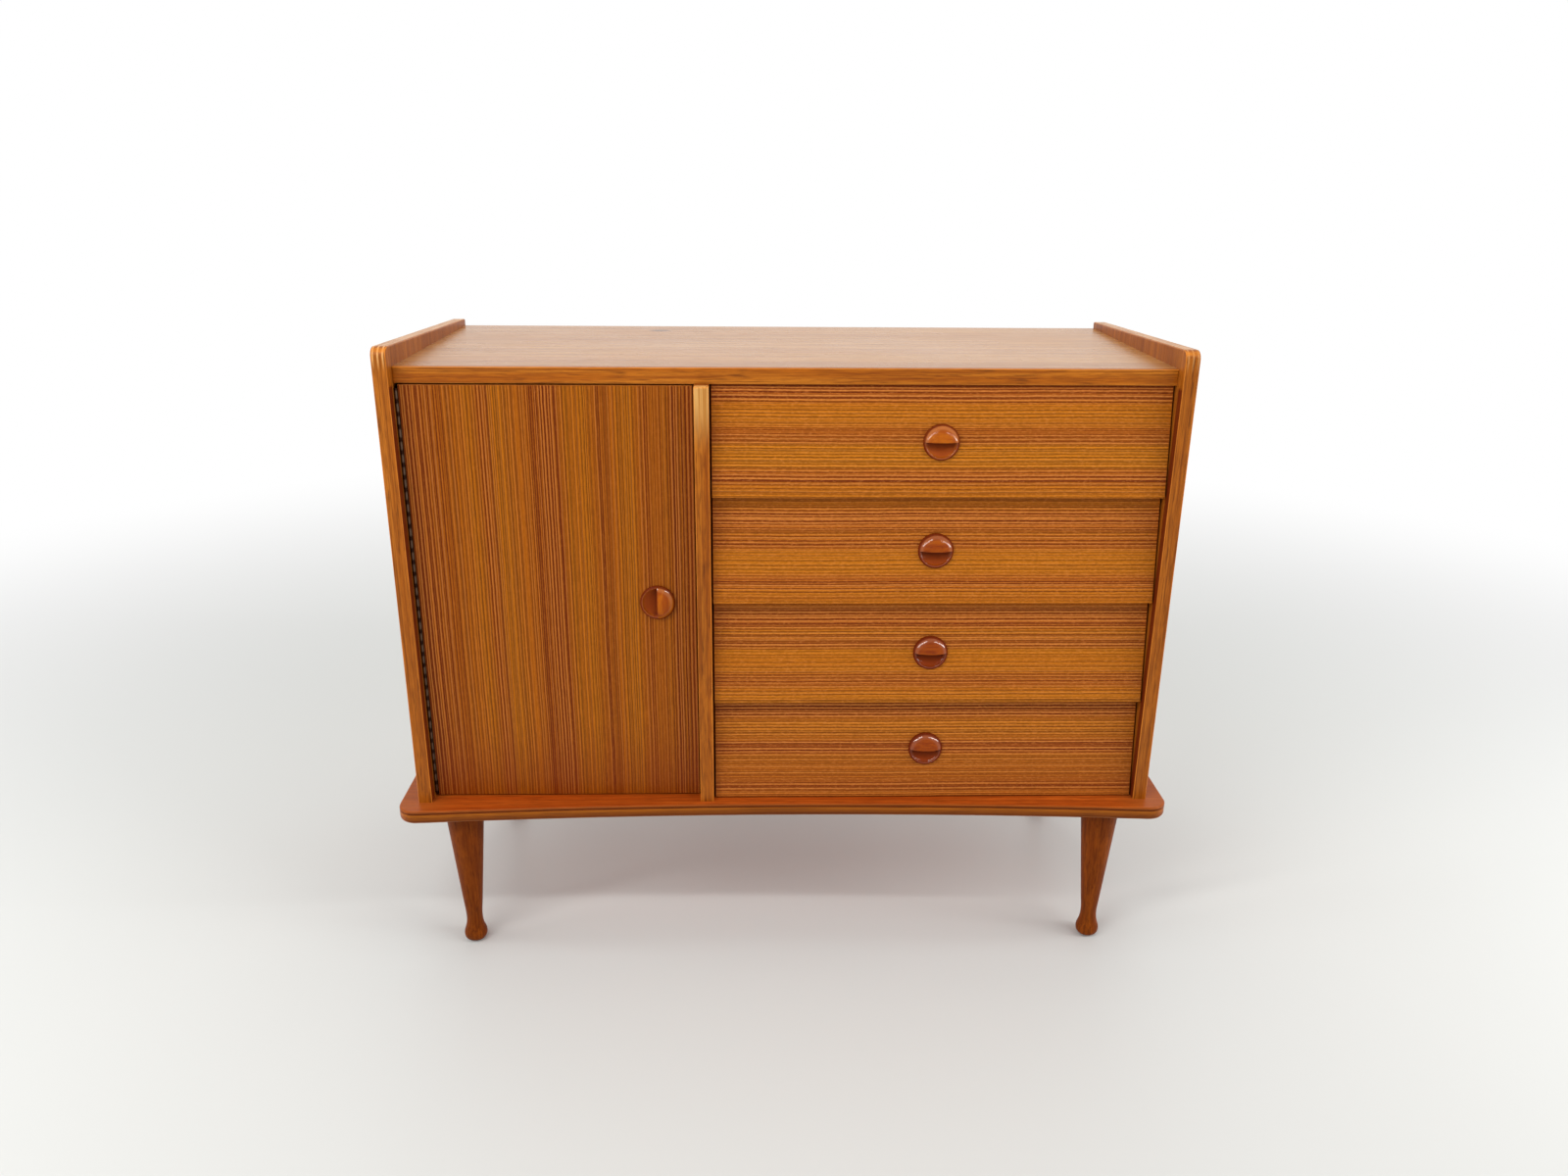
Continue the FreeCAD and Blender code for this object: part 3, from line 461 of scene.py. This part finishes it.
def pull_finish(name, node, grain, toward, darkening, seed):
    """Glossy turned teak, darker by a given share, with painted shade down in the scoop, which lies toward
    one side, painted sheen on the dome's flank and painted shade round the edge.
    """
    # Where each part of the turning, and the painted shade down the hollow, starts and is complete, in
    # metres from the line across the middle for the first two, and from the axis for the rest.
    scooped_half = (-0.0008, 0.0004)
    hollow_run = (0.001, 0.013)
    scoop_end = (0.0176, 0.0190)
    rim_start = (0.0182, 0.0196)
    flank_start = (0.0155, 0.0185)
    skirt_start = (0.0200, 0.0216)
    lathe_marks = 5200.0

    def darkened(red, green, blue):
        return tone(red * (1 - 0.21 * darkening), green * (1 - 0.36 * darkening), blue * (1 - 0.5 * darkening))

    material, shader, place, _ = new_finish(name)
    away, reach = from_middle(place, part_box(node), (1, 0, 1))
    side = vector_math("DOT_PRODUCT", away, toward, out=1)
    streak = fibres(place, grain, 210.0, 9.0, seed, 4.0)
    pore = step(fibres(place, grain, 900.0, 50.0, seed + 2.0, 1.0), 0.58, 0.72)
    lower = step(side, *scooped_half)
    scoop = lower * (1 - step(reach, *scoop_end))
    rim = lower * step(reach, *rim_start)
    flank = (1 - lower) * step(reach, *flank_start)
    skirt = step(reach, *skirt_start)
    colour = over(step(streak, 0.36, 0.66), darkened(158, 70, 4), darkened(184, 96, 8))
    colour = over(pore * 0.35, colour, darkened(84, 32, 4))
    # Painted sheen: the dome's flank paler than its crown.
    colour = over(flank * 0.5, colour, darkened(184, 104, 30))
    # Painted shade in the scoop: darkest under the dome's edge, lighter further down; partly a darker stain.
    hollow = over(step(side, *hollow_run), darkened(102, 33, 11), darkened(164, 75, 31))
    colour = over(scoop * 0.8, colour, hollow)
    colour = over(rim * 0.5, colour, darkened(132, 54, 16))
    # Painted shade round the edge where the pull meets the front, and painted reflection of the dark front.
    colour = over(skirt * 0.85, colour, tone(98, 28, 6))
    connect(shader, Base_Color=colour, Roughness=0.24 + 0.10 * pore + 0.3 * scoop + 0.08 * (streak - 0.5),
            Coat_Weight=(0.16 - 0.14 * scoop + 0.6 * flank + 0.5 * rim) * (1 - skirt))
    emboss(shader, (reach * lathe_marks).math("SINE") * 0.12 - pore * 0.6, 0.15, 0.0002)
    shader.inputs["Specular IOR Level"].default_value = 0.05
    shader.inputs["Coat Roughness"].default_value = 0.06
    return material


# The pulls get darker from the top drawer down.
for count, darkening in enumerate((0.0, 0.5, 0.85, 0.9), 1):
    name = "drawer_%d_pull" % count
    dress(pull_finish(name + "_teak", name, 0, (0, 0, -1), darkening, 83.0 + 2.9 * count), name)
dress(pull_finish("door_pull_teak", "door_pull", 2, (-1, 0, 0), 0.1, 97.0), "door_pull")


# Door: one flat board in the same striped veneer, its grain upright, hung on a full-length piano hinge.
# It closes against a strip on the divider and is held by a catch under the top. Its bands of dark lines
# run from the hinge to the closing edge.
# The dense band at the hinge edge is partly painted shade beside the side's lipping.
door_bands = ((0.0, 1.0), (0.05, 0.8), (0.15, 0.6), (0.18, 0.15), (0.25, 0.15), (0.265, 0.75),
              (0.295, 0.65), (0.32, 0.1), (0.41, 0.25), (0.44, 0.85), (0.53, 0.9), (0.56, 0.05),
              (0.64, 0.1), (0.66, 0.7), (0.7, 0.65), (0.73, 0.1), (0.8, 0.15), (0.83, 0.75), (0.86, 0.3),
              (0.9, 0.4), (0.93, 0.85), (1.0, 0.85))
dress(striped_veneer("door_veneer", "door_panel", 0, door_bands, (178, 100, 12), (118, 45, 10), depth=0.66,
                     crowd=0.1, mottle=0.1, painted_foot_shade=0.4, seed=103.0), "door_panel")
dress(teak("stop_strip_teak", 2, (112, 52, 20), (160, 88, 36), (186, 112, 54), 107.0), "door_stop_strip")


# Piano hinge: thin plated leaves let in between the door and the side, long since gone brown, their knuckles
# rubbed bright on one steel pin, each leaf held by countersunk screws.
def rubbed_knuckles(place, facing, colour):
    """Bright middles and dirty ends on the knuckles, all down the pin."""
    knuckles = 35
    barrel = 0.0021
    low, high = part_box("hinge_pin")
    _, reach = from_middle(place, (low, high), (1, 1, 0))
    turn = (axes(place)[2] - low[2]) * (knuckles / (high[2] - low[2]))
    end = step(abs(turn.math("FRACT") - 0.5), 0.20, 0.40)
    knuckle = over(end, tone(94, 76, 62), tone(48, 28, 20))
    return over(1 - step(reach, barrel, barrel + 0.0002), colour, knuckle)


dress(metal("hinge_plate", (96, 70, 50), (40, 25, 17), 0.34, 2, 109.0, rubbed_knuckles),
      "hinge_side_leaf", "hinge_door_leaf", "hinge_pin", "hinge_side_screws", "hinge_door_screws")


# Catch: a moulded brown block screwed up under the top, and the thin steel strike plate on the back of the
# door, which it holds when the door is shut.
def moulding(name, colour, seed):
    """Moulded plastic: a fine, even texture with rubbed, shinier arrises."""
    material, shader, place, facing = new_finish(name)
    cloud = fibres(place, 0, 60.0, 60.0, seed, 3.0)
    speck = fibres(place, 0, 2200.0, 2200.0, seed + 3.0, 2.0)
    rubbed = rounded_edge(facing)
    shade = over(step(cloud, 0.35, 0.7) * 0.5, tone(*colour), scaled(colour, 0.8))
    connect(shader, Base_Color=over(rubbed * 0.4, shade, scaled(colour, 1.4)),
            Roughness=0.5 - 0.15 * rubbed + 0.1 * (speck - 0.5))
    emboss(shader, speck, 0.15, 0.0001)
    return material


dress(moulding("catch_plastic", (95, 60, 36), 113.0), "door_catch")
dress(metal("strike_steel", (172, 170, 164), (110, 98, 80), 0.35, 0, 117.0), "strike_plate")


# Studio: a plain pale floor that fades to white far off, in a white surround. Soft boxes stand in front, at
# both sides, overhead and behind, and two narrow strips draw the highlights in the lacquer.
def background_rays(shader):
    """1 for the rays that see the background: straight from the camera, mirrored, or through glass."""
    straight = Wire(shader.outputs[0]).node("LightPath", {}, {}, "Is Camera Ray")
    rays = straight.socket.node.outputs
    return straight.math("MAXIMUM", Wire(rays["Is Glossy Ray"]) + Wire(rays["Is Transmission Ray"]))


floor_half = 40
fade_start = 0.9
fade_end = 3.0
floor_mesh = bpy.data.meshes.new("studio_floor")
floor_mesh.from_pydata([(-floor_half, -floor_half, 0), (floor_half, -floor_half, 0),
                        (floor_half, floor_half, 0), (-floor_half, floor_half, 0)], [], [(0, 1, 2, 3)])
studio_floor = bpy.data.objects.new("studio_floor", floor_mesh)
bpy.context.scene.collection.objects.link(studio_floor)
floor_finish, shader, place, _ = new_finish("floor_paint")
shader.inputs["Base Color"].default_value = tone(214, 215, 212)
shader.inputs["Roughness"].default_value = 0.45
shader.inputs["Specular IOR Level"].default_value = 0.3
tree = floor_finish.node_tree
distance = vector_math("LENGTH", place, out=1)
seen = background_rays(shader)
white = distance.node("Emission", {}, {"Color": (1, 1, 1, 1), "Strength": 1.0})
faded = distance.node("MixShader", {}, {0: step(distance, fade_start, fade_end) * seen,
                                        1: Wire(shader.outputs[0]), 2: white})
tree.links.new(faded.socket, tree.nodes["Material Output"].inputs["Surface"])
floor_mesh.materials.append(floor_finish)

world = bpy.data.worlds.new("studio")
bpy.context.scene.world = world
world.use_nodes = True
sky = world.node_tree
seen = background_rays(sky.nodes["Background"])
soft = seen.node("Background", {}, {"Color": (1, 1, 1, 1), "Strength": 0.38})
bright = seen.node("Background", {}, {"Color": (1, 1, 1, 1), "Strength": 1.0})
sky.links.new(seen.node("MixShader", {}, {0: seen, 1: soft, 2: bright}).socket,
              sky.nodes["World Output"].inputs["Surface"])


def lamp(name, place, aim, width, height, power, lean=0, mirrored=False):
    """A soft box that faces a point, turned on its own axis by so many degrees. Only some show in gloss."""
    data = bpy.data.lights.new(name, "AREA")
    data.shape = "RECTANGLE"
    data.size, data.size_y = width, height
    data.energy = power
    made = bpy.data.objects.new(name, data)
    bpy.context.scene.collection.objects.link(made)
    made.location = place
    made.visible_camera = False
    made.visible_glossy = mirrored
    facing = (Vector(aim) - Vector(place)).to_track_quat("-Z", "Y").to_matrix()
    made.rotation_euler = (facing @ Matrix.Rotation(math.radians(lean), 3, "Z")).to_euler()


chest_middle = (0, 0, 0.5)
chest_low = (0, 0, 0.4)
lamp("front_lamp", (-1.3, -2.3, 1.6), chest_middle, 1.4, 1.4, 9)
lamp("high_lamp", (0, 0.2, 3.0), chest_middle, 2.4, 1.6, 20)
lamp("left_lamp", (-2.5, -0.4, 0.8), chest_low, 1.2, 1.2, 18)
lamp("right_lamp", (2.5, -0.4, 0.8), chest_low, 1.2, 1.2, 18)
lamp("back_lamp", (0, 2.8, 1.6), chest_middle, 2.4, 1.4, 22)
lamp("left_strip", (-1.3, -1.5, 2.0), chest_middle, 0.10, 2.6, 26, lean=-40, mirrored=True)
lamp("right_strip", (2.1, -1.1, 1.7), chest_middle, 0.10, 2.6, 26, lean=40, mirrored=True)


# Camera: in front of the chest and a little left of its middle, looking down on it with a wide lens. Its
# place, aim, roll and lens come from a fit to edges of the chest in the photograph.
camera_place = (-0.0427, -1.6167, 1.0548)
camera_angles = (19.738, 1.5595, 0.4807)
pitch, yaw, roll = [math.radians(angle) for angle in camera_angles]
forward = Vector((math.sin(yaw) * math.cos(pitch), math.cos(yaw) * math.cos(pitch), -math.sin(pitch)))
level = forward.cross(Vector((0, 0, 1))).normalized()
upward = level.cross(forward)
right = math.cos(roll) * level + math.sin(roll) * upward
above = -math.sin(roll) * level + math.cos(roll) * upward
camera_data = bpy.data.cameras.new("camera")
camera_data.lens = 27.03
camera_data.sensor_width = 36.0
camera = bpy.data.objects.new("camera", camera_data)
bpy.context.scene.collection.objects.link(camera)
turned = Matrix((right, above, -forward)).transposed().to_4x4()
camera.matrix_world = Matrix.Translation(camera_place) @ turned
bpy.context.scene.camera = camera
bpy.context.scene.view_settings.view_transform = "Standard"
